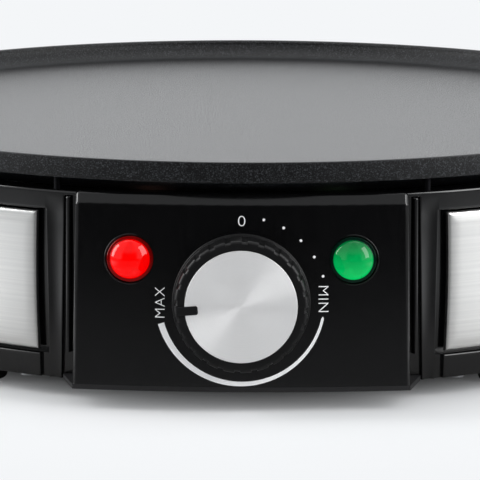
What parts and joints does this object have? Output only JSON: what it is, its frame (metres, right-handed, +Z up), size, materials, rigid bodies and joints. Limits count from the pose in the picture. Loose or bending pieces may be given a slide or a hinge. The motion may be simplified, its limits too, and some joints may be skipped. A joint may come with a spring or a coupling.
{
  "type": "electric crepe maker",
  "caption": "Round griddle plate with a low rim on a black ring housing with brushed-steel side panels, a front control box, indicator lamps and a thermostat knob.",
  "frame": {"origin": "centre of the footprint on the table, with the plate's axis 5.9 mm behind it", "axes": "+Z up, the control box towards -Y, +X to the right as seen from the front"},
  "size_m": [0.32, 0.3318, 0.083],
  "materials": {
    "black_coating": "cast aluminium with a black non-stick coating, fine grain",
    "black_gloss": "glossy black moulded plastic",
    "black_satin": "satin black moulded plastic",
    "brushed_steel": "stainless steel, brushed lengthways",
    "zinc_steel": "zinc-plated steel",
    "spun_aluminium": "radially spun aluminium with a bright edge",
    "aluminised_sheet": "aluminised steel sheet",
    "element_steel": "heat-darkened steel sheath",
    "brass": "nickel-free brass",
    "copper": "bare copper",
    "black_rubber": "black rubber",
    "red_lens": "translucent red plastic, lit",
    "green_lens": "translucent green plastic, lit",
    "neon_glass": "clear glass neon bulb",
    "white_ceramic": "unglazed ceramic",
    "brown_lead": "brown silicone insulation",
    "blue_lead": "blue silicone insulation",
    "green_yellow_lead": "green and yellow silicone insulation",
    "white_sleeve": "white glass-fibre sleeve"
  },
  "bodies": {
    "base": {"griddle_plate": "black_coating", "heating_element": "element_steel", "element_terminals": "brass", "element_clamps": "zinc_steel", "clamp_screws": "zinc_steel", "sensor_bulb": "copper", "bulb_clip": "zinc_steel", "capillary_tube": "copper", "heat_reflector": "aluminised_sheet", "thermal_fuse": "brass", "fuse_clip": "zinc_steel", "plate_screws": "zinc_steel", "rim_pegs": "black_satin", "housing_ring": "black_gloss", "steel_panel_left": "brushed_steel", "steel_panel_right": "brushed_steel", "panel_washers": "zinc_steel", "control_box": "black_gloss", "box_screws": "zinc_steel", "lens_red": "red_lens", "lens_green": "green_lens", "neon_red": "neon_glass", "neon_green": "neon_glass", "lens_clips": "zinc_steel", "lamp_leads": "white_sleeve", "thermostat_body": "zinc_steel", "thermostat_screws": "zinc_steel", "base_cover": "black_satin", "base_screws": "zinc_steel", "foot_screws": "zinc_steel", "cord_inlet": "black_rubber", "terminal_block": "white_ceramic", "terminal_screws": "brass", "foot_front_right": "black_rubber", "foot_front_left": "black_rubber", "foot_rear_right": "black_rubber", "foot_rear_left": "black_rubber", "lead_live": "brown_lead", "lead_switched": "brown_lead", "lead_neutral": "blue_lead", "lead_fuse": "blue_lead", "lead_earth": "green_yellow_lead"},
    "knob": {"knob_body": "black_satin", "knob_disc": "spun_aluminium", "knob_spring": "zinc_steel", "thermostat_shaft": "zinc_steel"}
  },
  "joints": [
    {"name": "knob_turn", "type": "hinge", "parent": "base", "child": "knob", "pos_m": [0, -0.1525, 0.0367], "axis": [0, -0.9986, 0.0523], "range_deg": [-4.4, 265.6]}
  ]
}
